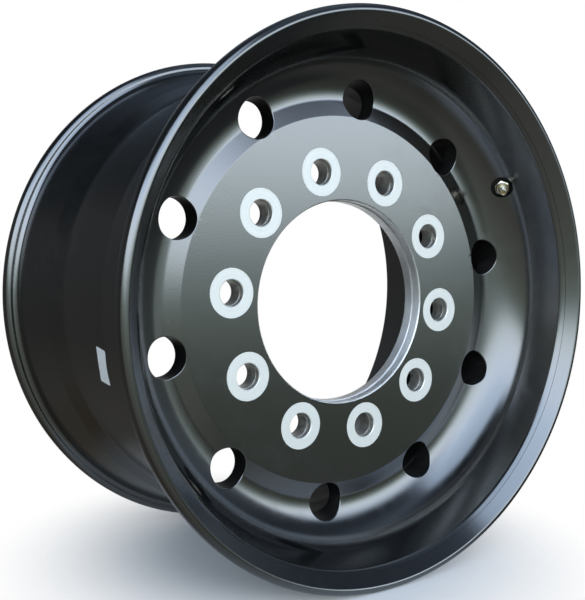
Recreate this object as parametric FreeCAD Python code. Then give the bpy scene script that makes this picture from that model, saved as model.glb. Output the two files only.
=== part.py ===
"""Truck wheel forged in one piece, with its tyre valve.

Millimetres. The wheel spins about Y and its outer face looks towards -Y. The origin is the
centre of the rim, on the axis, half way between the two flanges.
"""
import FreeCAD, Part
import math
import os

Vector = FreeCAD.Vector
ORIGIN = Vector(0, 0, 0)
SPIN_AXIS = Vector(0, 1, 0)

# Rim, tyre side
rim_width = 311.15           # between the two flange faces
flange_width = 17.1          # each flange, outwards from its tyre face
flange_height = 12.7         # above the bead seat
flange_curl = 7.0            # round of the flange on the tyre side
nose_width = 8.0             # flat end of each flange, before its edges are rounded
nose_round = 6.5             # edge of that end towards the tyre
nose_blend = 4.0             # edge of that end towards the lip
seat_r = 285.75              # bead seat cone, where it meets the flange face
seat_angle = 15.0
seat_length = 60.0
seat_round = 15.0            # from the bead seat over to the ramp
heel_fillet = 6.5
ramp_angle = 25.0
ramp_fillet = 24.0
well_depth = 33.25           # deepest land of the drop centre, in from the bead seat
well_foot_depth = 25.95      # foot of the inboard ramp, in from the bead seat
well_bend = -17.9            # where the deep land starts to rise, along Y

# Rim, wheel side
seat_wall = 9.2
well_wall = 8.2
lip_depth = 14.3             # from the lip's face to the start of the wall
lip_wall_inset = 10.75       # start of the wall behind the lip, in from the bead seat
lip_edge_round = 8.0
lip_step_inset = 6.75        # fine machined step round the outer lip, in from the bead seat
lip_step_depth = 9.9
lip_step = 0.6

# Disc; the insets are measured in from the bead seat
face_depth = 81.8            # from the outer lip's face to the disc's outer face
disc_thickness = 25.0
face_inset = 85.75           # edge of the flat outer face
face_round = 5.0
valley_inset = 67.75         # foot of the slope round the flat face
valley_depth = 4.0           # of that foot, behind the flat face
valley_round = 14.0
dish_inset = 28.35           # corner where the valley would meet the dish's wall
dish_drop = 1.9              # of that corner, behind the flat face
dish_fillet = 50.0           # wide hollow from the valley round to the wall
back_fillet = 18.0

# Centre bore
pilot_r = 110.05
pilot_chamfer = 1.0
bore_step = 0.75             # how much wider the front land is than the pilot land
bore_front = 10.0            # length of the front land
bore_chamfer = 1.2
bore_groove = 1.4            # depth of the groove between the lands
bore_groove_width = 1.5

# Wheel bolts
bolt_count = 10
bolt_circle_r = 142.875
bolt_angle = 30.5            # of the first bolt, from +X towards +Z
bolt_hole_r = 13.2
bolt_mouth_step = 0.5        # how much wider the hole's front part is
bolt_mouth_depth = 8.0
bolt_chamfer = 0.8
bolt_ring_r = 25.5           # bare ring that the nut's washer bears on
bolt_ring_depth = 0.3

# Hand holes, midway between the bolts
hand_hole_r = 20.8
hand_inset = 65.25           # centres, in from the bead seat
hand_edge_round = 1.2

# Tyre valve
valve_angle = 30.5
valve_tilt = 45.0            # from the wheel's axis, mouth towards the axis
valve_seat_angle = 56.0      # place on the dish's fillet, as the way that the fillet faces there
valve_wall = 8.6             # rim left between the two spot faces
valve_hole_r = 4.85
valve_spot_r = 12.8
valve_spot_depth = 2.0
valve_inner_spot_r = 9.5
valve_reach = 22.5           # from the outer spot face to the mouth
valve_shank_r = 4.6
valve_thread_r = 3.85
valve_cone_length = 4.0
valve_mouth_chamfer = 0.5
valve_head_r = 7.5
valve_head_height = 3.0
valve_passage_r = 1.8
seal_r = 7.2
seal_height = 2.0
nut_flats = 15.9
nut_height = 6.5
nut_chamfer = 1.4
nut_collar_r = 6.3
nut_collar_height = 2.0
nut_turn = 12.0
thread_gap = 0.05

# Valve core, measured down from the mouth
core_chamber_r = 2.6
core_chamber_spare = 2.3     # left below the pin's cup when the pin is pressed
core_top = 1.2
core_gap = 0.1
core_thread_length = 5.3
core_neck = 1.0
core_neck_r = 1.8
core_sleeve_r = 2.2
core_length = 13.8
core_bar = 2.2               # width of the key bar left across the top
core_bar_height = 1.8
pin_r = 0.6
pin_gap = 0.25
pin_top = 0.4
pin_travel = 1.5
spring_room_r = 1.5
spring_room_top = 7.0        # below the core's own top
spring_room_length = 5.8
collar_r = 1.2
collar_height = 0.6
collar_drop = 0.6
cup_r = 1.9
cup_height = 1.6
cup_wall = 0.35
washer_height = 0.8
washer_stand = 0.25          # how far the washer stands out of its cup
washer_gap = 0.05
core_ring_height = 1.6
core_ring_drop = 8.2         # below the core's own top
spring_wire_r = 0.14
spring_coils = 7

# Worked out from the sizes above
front_lip = -(rim_width / 2 + flange_width)
face_y = front_lip + face_depth
back_y = face_y + disc_thickness
flange_r = seat_r + flange_height
well_r = seat_r - well_depth
well_foot_r = seat_r - well_foot_depth
lip_wall_r = seat_r - lip_wall_inset
lip_step_r = seat_r - lip_step_inset
face_r = seat_r - face_inset
valley_r = seat_r - valley_inset
dish_r = seat_r - dish_inset
hand_circle_r = seat_r - hand_inset
bolt_pitch = 360.0 / bolt_count
hand_angle = bolt_angle - bolt_pitch / 2
seat_end_r = seat_r - seat_length * math.tan(math.radians(seat_angle))
ramp_slope = math.tan(math.radians(ramp_angle))
cup_depth = core_top + core_length + washer_gap + washer_stand
core_chamber_depth = cup_depth + cup_height + pin_travel + core_chamber_spare


def toward(start, end):
    """Unit step from one outline point to the next, and the distance between them."""
    length = math.dist(start, end)
    return ((end[0] - start[0]) / length, (end[1] - start[1]) / length), length


def half_turn(before, corner, after):
    """Half the angle that an outline turns by at a corner."""
    (ax, ay), _ = toward(before, corner)
    (bx, by), _ = toward(corner, after)
    return abs(math.atan2(ax * by - ay * bx, ax * bx + ay * by)) / 2


def fillet_centre(before, corner, after, radius):
    """Centre of the round that touches both lines at a corner."""
    (ax, ay), _ = toward(corner, before)
    (bx, by), _ = toward(corner, after)
    mid_x, mid_y = ax + bx, ay + by
    reach = radius / math.cos(half_turn(before, corner, after)) / math.hypot(mid_x, mid_y)
    return corner[0] + mid_x * reach, corner[1] + mid_y * reach


def fitted_rounds(corners):
    """Each corner's radius, held to what the lines on both sides of it leave room for."""
    count = len(corners)
    tangents = []
    for i, (x, y, radius) in enumerate(corners):
        turn = half_turn(corners[i - 1][:2], (x, y), corners[(i + 1) % count][:2])
        tangents.append(radius * math.tan(turn))
    share = [1.0] * count
    for i in range(count):
        after = (i + 1) % count
        length = math.dist(corners[i][:2], corners[after][:2])
        used = tangents[i] + tangents[after]
        if used > length:
            share[i] = min(share[i], length / used)
            share[after] = min(share[after], length / used)
    return [corner[2] * part for corner, part in zip(corners, share)]


def rounded_outline(corners):
    """Closed wire in the XY plane through corners of (x, y, radius)."""
    count = len(corners)
    rounds = fitted_rounds(corners)
    edges = []
    stretches = []
    for i, (x, y, _) in enumerate(corners):
        before, after = corners[i - 1][:2], corners[(i + 1) % count][:2]
        if rounds[i] == 0:
            stretches.append([(x, y)])
            continue
        tangent = rounds[i] * math.tan(half_turn(before, (x, y), after))
        (ax, ay), _ = toward((x, y), before)
        (bx, by), _ = toward((x, y), after)
        centre = fillet_centre(before, (x, y), after, rounds[i])
        (mx, my), _ = toward(centre, (x, y))
        stretches.append([(x + ax * tangent, y + ay * tangent),
                          (centre[0] + mx * rounds[i], centre[1] + my * rounds[i]),
                          (x + bx * tangent, y + by * tangent)])
    for i, stretch in enumerate(stretches):
        points = [Vector(px, py, 0) for px, py in stretch]
        if len(points) == 3:
            edges.append(Part.Arc(*points).toShape())
        following = Vector(*stretches[(i + 1) % count][0], 0)
        if points[-1].distanceToPoint(following) > 1e-6:
            edges.append(Part.LineSegment(points[-1], following).toShape())
    return Part.Wire(edges)


def revolved(corners):
    """Solid of revolution about Y from corners of (radius, height, round)."""
    return Part.Face(rounded_outline(corners)).revolve(ORIGIN, SPIN_AXIS, 360)


def turned(outline):
    """Small turned piece along +Z from corners of (radius, height)."""
    solid = revolved([(r, h, 0) for r, h in outline])
    solid.rotate(ORIGIN, Vector(1, 0, 0), 90)
    return solid


def ring(inner_r, outer_r, low, high):
    """Plain ring along +Z."""
    return turned([(inner_r, low), (outer_r, low), (outer_r, high), (inner_r, high)])


def around(solid, count, first_angle):
    """Copies of a solid turned about the wheel's axis, the first at an angle from +X."""
    copies = []
    for i in range(count):
        copy = solid.copy()
        copy.rotate(ORIGIN, SPIN_AXIS, -(first_angle + i * 360.0 / count))
        copies.append(copy)
    return copies


def flange_outline(side):
    """Tyre side of one flange and bead seat, from the lip inwards; side is the sign of Y."""
    tyre_face = side * rim_width / 2
    lip = side * (rim_width / 2 + flange_width)
    return [(flange_r - nose_width, lip, nose_blend),
            (flange_r, lip, nose_round),
            (flange_r, tyre_face, flange_curl),
            (seat_r, tyre_face, heel_fillet),
            (seat_end_r, tyre_face - side * seat_length, seat_round)]


def well_outline():
    """Tyre side of the drop centre, from the outboard seat to the inboard one."""
    seat_end = rim_width / 2 - seat_length
    outer_foot = -seat_end + (seat_end_r - well_r) / ramp_slope
    inner_foot = seat_end - (seat_end_r - well_foot_r) / ramp_slope
    return [(well_r, outer_foot, ramp_fillet),
            (well_r, well_bend, ramp_fillet),
            (well_foot_r, inner_foot, ramp_fillet)]


def barrel_inside():
    """Wheel side of the rim's inboard half, from the inboard lip to the disc's back."""
    lip = rim_width / 2 + flange_width
    seat_end = rim_width / 2 - seat_length
    inner_foot = seat_end - (seat_end_r - well_foot_r) / ramp_slope
    return [(lip_wall_r, lip - lip_depth, lip_edge_round),
            (seat_end_r - seat_wall, seat_end, seat_round),
            (well_foot_r - well_wall, inner_foot, ramp_fillet),
            (well_r - well_wall, well_bend, ramp_fillet),
            (well_r - well_wall, back_y, back_fillet)]


def bore_outline():
    """Wall of the centre bore, from the disc's back to its outer face."""
    front_r = pilot_r + bore_step
    groove_front = face_y + bore_front
    groove_back = groove_front + bore_groove_width
    groove_r = front_r + bore_groove
    return [(pilot_r + pilot_chamfer, back_y, 0),
            (pilot_r, back_y - pilot_chamfer, 0),
            (pilot_r, groove_back + pilot_chamfer, 0),
            (pilot_r + pilot_chamfer, groove_back, 0),
            (groove_r, groove_back, 0),
            (groove_r, groove_front, 0),
            (front_r, groove_front, 0),
            (front_r, face_y + bore_chamfer, 0),
            (front_r + bore_chamfer, face_y, 0)]


def dish_outline():
    """Outer face of the disc and the wall up to the outer lip."""
    return [(face_r, face_y, face_round),
            (valley_r, face_y + valley_depth, valley_round),
            (dish_r, face_y + dish_drop, dish_fillet),
            (lip_wall_r, front_lip + lip_depth, lip_edge_round),
            (lip_step_r, front_lip + lip_step_depth + lip_step, 0),
            (lip_step_r, front_lip + lip_step_depth, 0)]


def wheel_blank():
    """Turned forging, before it is drilled."""
    inboard = flange_outline(1)
    return revolved(bore_outline() + dish_outline() + flange_outline(-1) + well_outline()
                    + inboard[::-1] + barrel_inside())


def bolt_hole():
    """Cutter for one bolt hole on the +X axis, with its bare ring and chamfers."""
    mouth_r = bolt_hole_r + bolt_mouth_step
    bare = face_y + bolt_ring_depth
    outline = [(0, face_y - 1), (bolt_ring_r, face_y - 1), (bolt_ring_r, bare),
               (mouth_r + bolt_chamfer, bare), (mouth_r, bare + bolt_chamfer),
               (mouth_r, face_y + bolt_mouth_depth), (bolt_hole_r, face_y + bolt_mouth_depth),
               (bolt_hole_r, back_y - bolt_chamfer), (bolt_hole_r + bolt_chamfer, back_y),
               (bolt_hole_r + bolt_chamfer, back_y + 1), (0, back_y + 1)]
    cutter = revolved([(r, y, 0) for r, y in outline])
    cutter.translate(Vector(bolt_circle_r, 0, 0))
    return cutter


def hand_hole():
    """Cutter for one hand hole on the +X axis, from the lip through the fillet behind the disc."""
    length = face_depth + disc_thickness + back_fillet
    return Part.makeCylinder(hand_hole_r, length, Vector(hand_circle_r, front_lip, 0), SPIN_AXIS)


def hand_hole_edges(wheel):
    """Edges where the hand holes break out of the disc, front and back."""
    edges = []
    for face in wheel.Faces:
        surface = face.Surface
        if not isinstance(surface, Part.Cylinder):
            continue
        if abs(surface.Radius - hand_hole_r) > 1e-6:
            continue
        edges += [edge for edge in face.Edges if not isinstance(edge.Curve, Part.Line)]
    return edges


def valve_seat():
    """Radius and Y of the middle of the outer spot face, sunk a little into the dish's fillet."""
    valley = (valley_r, face_y + valley_depth)
    corner = (dish_r, face_y + dish_drop)
    wall_end = (lip_wall_r, front_lip + lip_depth)
    centre = fillet_centre(valley, corner, wall_end, dish_fillet)
    depth = dish_fillet + valve_spot_depth
    facing = math.radians(valve_seat_angle)
    return centre[0] + depth * math.sin(facing), centre[1] + depth * math.cos(facing)


def at_valve(solid):
    """Place a piece made along +Z with its mouth up: +Z leaves the rim along the valve."""
    seat_radius, seat_y = valve_seat()
    turn = FreeCAD.Rotation(Vector(0, 0, 1), Vector(0, 0, 0), valve_direction(), "ZXY")
    place = FreeCAD.Placement(Vector(seat_radius, seat_y, 0), turn)
    solid.transformShape(place.toMatrix(), True)
    solid.rotate(ORIGIN, SPIN_AXIS, -valve_angle)
    return solid


def valve_direction():
    """Way out of the valve, before it is turned to its angle round the wheel."""
    tilt = math.radians(valve_tilt)
    return Vector(-math.sin(tilt), -math.cos(tilt), 0)


def valve_cutter():
    """Valve hole with a spot face on each side of the rim."""
    outer_room = dish_fillet
    inner_room = seat_wall + well_wall
    hole = Part.makeCylinder(valve_hole_r, valve_wall + 2, Vector(0, 0, -valve_wall - 1))
    outer = Part.makeCylinder(valve_spot_r, outer_room)
    inner = Part.makeCylinder(valve_inner_spot_r, inner_room, Vector(0, 0, -valve_wall - inner_room))
    return at_valve(hole.fuse([outer, inner]))


def make_wheel():
    """Finished forging: bolt holes, hand holes and the valve hole cut, hand holes rounded."""
    cutters = around(bolt_hole(), bolt_count, bolt_angle)
    cutters += around(hand_hole(), bolt_count, hand_angle)
    wheel = wheel_blank().cut(cutters)
    wheel = wheel.makeFillet(hand_edge_round, hand_hole_edges(wheel))
    return wheel.cut(valve_cutter())


def from_mouth(depth):
    """Height along the valve of a point so far below its mouth."""
    return valve_reach - depth


def make_valve_stem():
    """Turned stem: head under the seal, shank through the rim, cone and cap thread."""
    head_low = -valve_wall - seal_height - valve_head_height
    cone_low = nut_height + nut_collar_height
    chamber_low = from_mouth(core_chamber_depth)
    seat_low = chamber_low - (core_chamber_r - valve_passage_r)
    chamfer = valve_mouth_chamfer
    return turned([(valve_passage_r, head_low), (valve_head_r, head_low),
                   (valve_head_r, head_low + valve_head_height),
                   (valve_shank_r, head_low + valve_head_height),
                   (valve_shank_r, cone_low), (valve_thread_r, cone_low + valve_cone_length),
                   (valve_thread_r, valve_reach - chamfer), (valve_thread_r - chamfer, valve_reach),
                   (core_chamber_r, valve_reach), (core_chamber_r, chamber_low),
                   (valve_passage_r, seat_low)])


def make_valve_seal():
    """Rubber ring between the stem's head and the rim."""
    return ring(valve_shank_r + thread_gap, seal_r, -valve_wall - seal_height, -valve_wall)


def make_valve_nut():
    """Hexagon nut with a chamfered top and a round collar."""
    corner_r = nut_flats / 2 / math.cos(math.pi / 6)
    corners = []
    for i in range(7):
        angle = math.radians(nut_turn + 60 * i)
        corners.append(Vector(corner_r * math.cos(angle), corner_r * math.sin(angle), 0))
    prism = Part.Face(Part.makePolygon(corners)).extrude(Vector(0, 0, nut_height))
    top_r = nut_flats / 2 - nut_chamfer / 2
    bevel = turned([(0, 0), (corner_r, 0), (corner_r, nut_height - nut_chamfer),
                    (top_r, nut_height), (0, nut_height)])
    collar = Part.makeCone(top_r, nut_collar_r, nut_collar_height, Vector(0, 0, nut_height))
    hole_r = valve_shank_r + thread_gap
    hole = Part.makeCylinder(hole_r, nut_height + nut_collar_height)
    return prism.common(bevel).fuse(collar).cut(hole).removeSplitter()


def make_core_body():
    """Core housing: threaded head with a key bar, neck, sleeve and the spring's room."""
    top = from_mouth(core_top)
    thread_r = core_chamber_r - core_gap
    hole_r = pin_r + pin_gap
    thread_low = top - core_thread_length
    neck_low = thread_low - core_neck
    room_top = top - spring_room_top
    room_low = room_top - spring_room_length
    low = top - core_length
    body = turned([(hole_r, top), (thread_r, top), (thread_r, thread_low),
                   (core_neck_r, thread_low), (core_neck_r, neck_low), (core_sleeve_r, neck_low),
                   (core_sleeve_r, low), (hole_r, low), (hole_r, room_low),
                   (spring_room_r, room_low), (spring_room_r, room_top), (hole_r, room_top)])
    width = 2 * thread_r
    side = Part.makeBox(width, width, core_bar_height,
                        Vector(-thread_r, core_bar / 2, top - core_bar_height))
    other = side.mirror(ORIGIN, Vector(0, 1, 0))
    return body.cut([side, other])


def make_core_seal():
    """Sealing ring round the core's sleeve."""
    high = from_mouth(core_top + core_ring_drop)
    return ring(core_sleeve_r, core_chamber_r, high - core_ring_height, high)


def washer_top():
    """Height of the core's washer, closed against the core's lower end."""
    return from_mouth(cup_depth - washer_stand)


def collar_low():
    """Underside of the pin's collar, where its spring pushes."""
    return from_mouth(core_top + spring_room_top + collar_drop + collar_height)


def make_core_pin():
    """Sprung pin with its collar and the cup that holds the washer."""
    top = from_mouth(pin_top)
    cup_top = from_mouth(cup_depth)
    cup_floor = washer_top() - washer_height
    cup_low = cup_top - cup_height
    return turned([(0, top), (pin_r / 2, top), (pin_r, top - pin_r / 2),
                   (pin_r, collar_low() + collar_height), (collar_r, collar_low() + collar_height),
                   (collar_r, collar_low()), (pin_r, collar_low()), (pin_r, cup_floor),
                   (cup_r - cup_wall, cup_floor), (cup_r - cup_wall, cup_top), (cup_r, cup_top),
                   (cup_r, cup_low), (0, cup_low)])


def make_core_washer():
    """Rubber washer in the pin's cup."""
    return ring(pin_r, cup_r - cup_wall, washer_top() - washer_height, washer_top())


def make_core_spring():
    """Coil spring between the core's floor and the pin's collar."""
    floor = from_mouth(core_top + spring_room_top + spring_room_length)
    low = floor + spring_wire_r
    height = collar_low() - spring_wire_r - low
    coil_r = (collar_r + pin_r) / 2
    path = Part.makeHelix(height / spring_coils, height, coil_r)
    wire = Part.Wire(Part.makeCircle(spring_wire_r, Vector(coil_r, 0, 0), Vector(0, 1, 0)))
    spring = Part.Wire(path.Edges).makePipeShell([wire], True, True)
    spring.translate(Vector(0, 0, low))
    return spring


def main():
    """Make every piece and write it."""
    valve_pieces = {"valve_stem": make_valve_stem(), "valve_seal": make_valve_seal(),
                    "valve_nut": make_valve_nut(), "valve_core_body": make_core_body(),
                    "valve_core_seal": make_core_seal(), "valve_core_pin": make_core_pin(),
                    "valve_core_washer": make_core_washer(), "valve_core_spring": make_core_spring()}
    pieces = {"wheel": make_wheel()}
    for name, solid in valve_pieces.items():
        pieces[name] = at_valve(solid)
    os.makedirs("parts", exist_ok=True)
    for name, solid in pieces.items():
        solid.exportStep(os.path.join("parts", name + ".step"))
        print(name, solid.ShapeType, solid.isValid(), round(solid.Volume, 2))


main()
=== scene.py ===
"""Truck wheel: fine meshes, finishes and a small studio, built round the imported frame."""

import bisect
import itertools
import math

import bpy
import numpy as np
from bpy.props import FloatProperty, FloatVectorProperty, IntProperty, PointerProperty
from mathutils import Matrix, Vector, geometry


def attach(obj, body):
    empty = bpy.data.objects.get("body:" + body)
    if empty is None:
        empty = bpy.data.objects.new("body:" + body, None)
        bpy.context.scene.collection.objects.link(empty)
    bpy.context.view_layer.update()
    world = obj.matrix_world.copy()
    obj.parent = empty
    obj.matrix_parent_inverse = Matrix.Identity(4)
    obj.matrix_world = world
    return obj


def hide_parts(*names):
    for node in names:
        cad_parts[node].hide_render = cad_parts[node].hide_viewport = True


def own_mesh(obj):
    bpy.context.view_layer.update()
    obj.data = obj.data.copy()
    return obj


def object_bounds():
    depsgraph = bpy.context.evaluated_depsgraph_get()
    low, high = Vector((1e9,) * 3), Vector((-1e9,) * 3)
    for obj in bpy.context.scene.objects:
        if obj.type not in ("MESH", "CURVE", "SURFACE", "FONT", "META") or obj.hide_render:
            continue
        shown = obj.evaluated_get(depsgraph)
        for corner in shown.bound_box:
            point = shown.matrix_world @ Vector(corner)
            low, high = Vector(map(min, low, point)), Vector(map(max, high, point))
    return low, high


bl_info = {
    "name": "Truck Wheel",
    "version": (1, 0, 0),
    "blender": (4, 5, 0),
    "location": "View3D > Sidebar > Truck Wheel",
    "description": "Dresses a forged truck wheel and its tyre valve, and sets up its studio",
    "category": "Object",
}

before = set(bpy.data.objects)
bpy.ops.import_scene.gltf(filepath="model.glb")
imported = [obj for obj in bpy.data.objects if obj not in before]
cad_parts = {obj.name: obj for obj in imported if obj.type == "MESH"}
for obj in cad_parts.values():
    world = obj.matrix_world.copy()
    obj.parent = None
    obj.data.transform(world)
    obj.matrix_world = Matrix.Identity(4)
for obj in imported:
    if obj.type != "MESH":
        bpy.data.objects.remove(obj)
cad_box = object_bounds()


def length(metres, description):
    """A size that a user may change."""
    return FloatProperty(description=description, default=metres, unit="LENGTH", precision=5)


def angle(degrees, description):
    """An angle that a user may change."""
    return FloatProperty(description=description, default=math.radians(degrees), subtype="ANGLE")


def number(value, low, high, description):
    """A plain or whole number that a user may change."""
    kind = IntProperty if isinstance(value, int) else FloatProperty
    return kind(description=description, default=value, min=low, max=high)


def colour(rgb, description):
    """A colour that a user may change."""
    return FloatVectorProperty(description=description, default=rgb, size=3, min=0, max=1,
                               subtype="COLOR")


def named(group):
    """Name each setting of a group after its identifier."""
    for key, setting in group.__annotations__.items():
        words = key.split("_")
        words[-1] = {"r": "radius", "ior": "reflection index"}.get(words[-1], words[-1])
        setting.keywords["name"] = " ".join(words).capitalize()
    return group


@named
class RimSizes(bpy.types.PropertyGroup):
    """Tyre side and lips of the rim."""
    rim_width: length(0.31115, "Between the two flange faces")
    flange_width: length(0.0171, "Each flange, outwards from its tyre face")
    flange_r: length(0.29845, "Outer radius of both flanges")
    flange_curl: length(0.007, "Round of the flange on the tyre side")
    nose_width: length(0.008, "Flat end of each flange, before its edges are rounded")
    nose_round: length(0.0065, "Edge of that end towards the tyre")
    nose_blend: length(0.004, "Edge of that end towards the lip")
    seat_r: length(0.28575, "Bead seat cone, where it meets the flange")
    seat_angle: angle(15, "Slope of the bead seat")
    seat_length: length(0.060, "Bead seat, along the axis")
    seat_round: length(0.015, "From the bead seat over to the ramp")
    heel_fillet: length(0.0065, "Between bead seat and flange")
    ramp_angle: angle(25, "Slope down into the drop centre")
    ramp_fillet: length(0.024, "Rounds in the drop centre")
    well_r: length(0.2525, "Deepest land of the drop centre")
    well_foot_r: length(0.2598, "Foot of the inboard ramp")
    well_bend: length(-0.0179, "Where the deep land starts to rise, along Y")
    seat_wall: length(0.0092, "Thickness under the inboard seat")
    well_wall: length(0.0082, "Thickness under the drop centre")
    lip_depth: length(0.0143, "From the lip's face to the start of the wall")
    lip_wall_r: length(0.275, "Start of the wall behind the lip")
    lip_edge_round: length(0.008, "Edge between lip and wall")
    lip_step_r: length(0.279, "Fine machined step round the outer lip")
    lip_step_depth: length(0.0099, "From the lip's face to the fine step")
    lip_step: length(0.0006, "Height of the fine step")


@named
class DiscSizes(bpy.types.PropertyGroup):
    """Disc, centre bore and holes."""
    face_depth: length(0.0818, "From the outer lip's face to the disc's face")
    disc_thickness: length(0.025, "Between the disc's two faces")
    face_r: length(0.200, "Flat outer face")
    face_round: length(0.005, "Edge of the flat face")
    valley_r: length(0.218, "Foot of the slope round the flat face")
    valley_depth: length(0.004, "Of that foot, behind the flat face")
    valley_round: length(0.014, "At that foot")
    dish_r: length(0.2574, "Where the valley would meet the dish's wall")
    dish_drop: length(0.0019, "Of that corner, behind the flat face")
    dish_fillet: length(0.050, "Wide hollow from the valley round to the wall")
    back_fillet: length(0.018, "Round between disc and barrel, inboard")
    pilot_r: length(0.11005, "Bore's inboard land, which the hub centres")
    pilot_chamfer: length(0.001, "Edges of the pilot land")
    bore_step: length(0.00075, "How much wider the front land is")
    bore_front: length(0.010, "Length of the bore's front land")
    bore_chamfer: length(0.0012, "Front edge of the bore")
    bore_groove: length(0.0014, "Depth of the groove between the lands")
    bore_groove_width: length(0.0015, "Of the groove between the lands")
    bolt_count: number(10, 3, 16, "Bolt holes, and hand holes between them")
    bolt_circle_r: length(0.142875, "Of the bolt holes' centres")
    bolt_angle: angle(30.5, "Of the first bolt hole, from +X towards +Z")
    bolt_hole_r: length(0.0132, "Rear part of the hole")
    bolt_mouth_step: length(0.0005, "How much wider the hole's front part is")
    bolt_mouth_depth: length(0.008, "Length of the wider front part")
    bolt_chamfer: length(0.0008, "Edges of the bolt holes")
    bolt_ring_r: length(0.0255, "Spot face round each bolt hole")
    bolt_ring_depth: length(0.0003, "How far the spot face is sunk")
    hand_hole_r: length(0.0208, "Of the holes between the bolts")
    hand_circle_r: length(0.2205, "Of the hand holes' centres")
    hand_edge_round: length(0.0012, "Round of the hand holes' edges")


@named
class ValveSizes(bpy.types.PropertyGroup):
    """Tyre valve and its seat in the rim."""
    valve_angle: angle(30.5, "Place round the wheel, from +X towards +Z")
    valve_tilt: angle(45, "From the wheel's axis, mouth towards the axis")
    seat_facing: angle(56, "Place on the dish's fillet, as the way it faces")
    valve_wall: length(0.0086, "Rim left between the two spot faces")
    hole_r: length(0.00485, "Hole through the rim")
    spot_r: length(0.0128, "Outer spot face")
    spot_depth: length(0.002, "How far the outer spot face is sunk")
    inner_spot_r: length(0.0095, "Spot face on the tyre side")
    reach: length(0.0225, "From the outer spot face to the mouth")
    shank_r: length(0.0046, "Threaded shank through the rim")
    thread_r: length(0.00385, "Crest of the cap thread")
    thread_pitch: length(0.00079, "Cap thread")
    thread_depth: length(0.00036, "Cap thread, crest to root")
    cone_length: length(0.004, "From shank to cap thread")
    mouth_chamfer: length(0.0005, "Outer edge of the mouth")
    head_r: length(0.0075, "Stem's head on the tyre side")
    head_height: length(0.003, "Stem's head on the tyre side")
    passage_r: length(0.0018, "Air passage under the core")
    chamber_r: length(0.0026, "Room for the core")
    chamber_depth: length(0.0207, "Room for the core, from the mouth")
    seal_height: length(0.002, "Rubber under the stem's head")
    nut_flats: length(0.0159, "Across the nut's flats")
    nut_height: length(0.0065, "Hexagon")
    nut_chamfer: length(0.0014, "Turned top edge of the hexagon")
    nut_edge: length(0.0002, "Worn corners of the hexagon")
    collar_r: length(0.0063, "Round collar on the nut")
    collar_height: length(0.002, "Round collar on the nut")
    nut_turn: angle(12, "How far the nut is turned")
    thread_gap: length(0.00005, "Between nut and shank")
    spring_floor: length(0.014, "Where the core's spring stands, from the mouth")
    spring_length: length(0.0046, "Core spring at rest")
    spring_coil_r: length(0.0009, "Middle of the spring's wire")
    spring_wire_r: length(0.00014, "Wire of the spring")
    spring_coils: number(7, 1, 30, "Turns of the core spring")
    pin_travel: length(0.0015, "How far the core pin is pressed in")


@named
class LabelSizes(bpy.types.PropertyGroup):
    """Blank paper label on the tyre side."""
    label_angle: angle(194.4, "Place round the wheel, from +X towards +Z")
    label_y: length(-0.0028, "Middle of the label, along Y")
    label_length: length(0.040, "Along the well")
    label_width: length(0.0185, "Across the well")
    label_lean: angle(13, "How askew the label is stuck on")
    label_corner: length(0.0016, "Rounded corners")
    label_thickness: length(0.00012, "Paper and glue")


@named
class Finishes(bpy.types.PropertyGroup):
    """Colours and gloss."""
    paint: colour((0.0025, 0.003, 0.003), "Satin-gloss black paint")
    paint_worn: colour((0.008, 0.008, 0.0075), "Where the paint is dusty")
    speck: colour((0.35, 0.36, 0.37), "Specks of dirt on the paint")
    paint_rough: number(0.16, 0, 1, "Blur of what the paint reflects")
    paint_ior: number(2.4, 1, 4, "How strongly the paint reflects")
    matt_ior: number(1.14, 1, 4, "How strongly the thin inner paint reflects")
    matt_dust: colour((0.018, 0.018, 0.017), "Where the inner paint is dusty")
    bare: colour((0.98, 0.97, 0.92), "Machined aluminium round the bolt holes")
    bore: colour((0.97, 0.97, 0.97), "Machined aluminium in the centre bore")
    plated: colour((0.70, 0.66, 0.56), "Nickel plating on the stem")
    plated_nut: colour((0.80, 0.73, 0.56), "Nickel plating on the nut")
    brass: colour((0.78, 0.62, 0.33), "Valve core")
    steel: colour((0.55, 0.56, 0.58), "Core spring")
    rubber: colour((0.02, 0.02, 0.02), "Valve seals")
    paper: colour((0.84, 0.85, 0.86), "Blank label")


@named
class StageSettings(bpy.types.PropertyGroup):
    """Camera, floor and soft light."""
    camera_place: FloatVectorProperty(size=3, unit="LENGTH", default=(-0.5896, -0.8485, 0.0583),
                                      description="Where the camera stands")
    camera_aim: FloatVectorProperty(size=3, subtype="DIRECTION", default=(0.5384, 0.8387, -0.0813),
                                    description="Which way the camera looks")
    camera_lens: number(52.48, 10, 200, "Focal length in millimetres on a 36 mm sensor")
    camera_shift: FloatVectorProperty(size=2, default=(0.0465, 0.0333),
                                      description="Moves the frame, as a share of its height")
    floor_full: length(0.12, "Radius of the floor that shows fully")
    floor_end: length(0.38, "Radius where the floor has faded out")
    floor_tone: colour((0.92, 0.92, 0.91), "Pale matt floor")
    backdrop: colour((1.0, 1.0, 1.0), "White behind the wheel")


class TruckWheelSettings(bpy.types.PropertyGroup):
    """Everything that a user may change."""
    rim: PointerProperty(type=RimSizes)
    disc: PointerProperty(type=DiscSizes)
    valve: PointerProperty(type=ValveSizes)
    label: PointerProperty(type=LabelSizes)
    finishes: PointerProperty(type=Finishes)
    stage: PointerProperty(type=StageSettings)


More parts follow.
